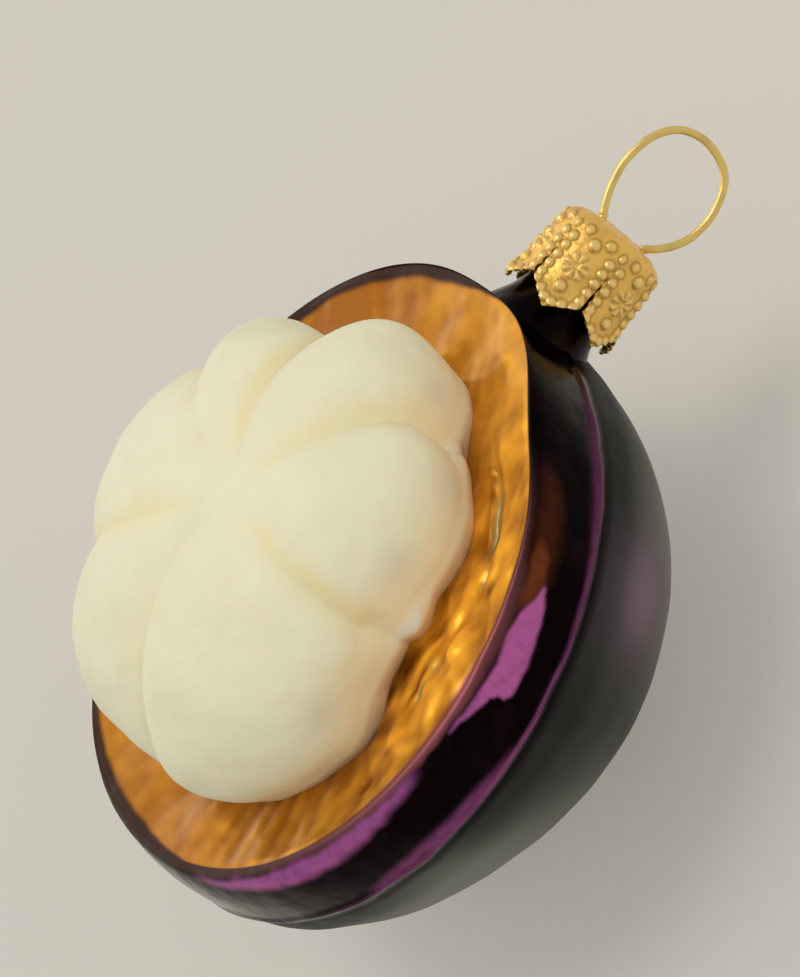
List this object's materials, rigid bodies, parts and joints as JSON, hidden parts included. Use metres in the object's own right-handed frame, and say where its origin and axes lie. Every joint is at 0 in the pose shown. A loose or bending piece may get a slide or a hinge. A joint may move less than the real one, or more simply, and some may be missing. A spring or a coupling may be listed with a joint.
{
  "type": "mangosteen glass ornament",
  "caption": "Blown glass tree ornament shaped like a cut mangosteen, with an embossed gilt cap and a wire loop to hang it by",
  "frame": {"origin": "middle of the flat spot under the round rind, which the ornament rests on", "axes": "+Z is the fruit's axis, up from the flat spot to the white flesh; +X is towards the neck, cap and hanging loop, which dip 7.6 degrees below level"},
  "size_m": [0.0865, 0.0638, 0.0505],
  "materials": {
    "lacquered_glass": "gloss",
    "gilt_cap": "satin",
    "gilt_wire": "satin"
  },
  "bodies": {
    "root": {"glass_body": "lacquered_glass", "cap": "gilt_cap", "wire_hanger": "gilt_wire"}
  },
  "joints": []
}
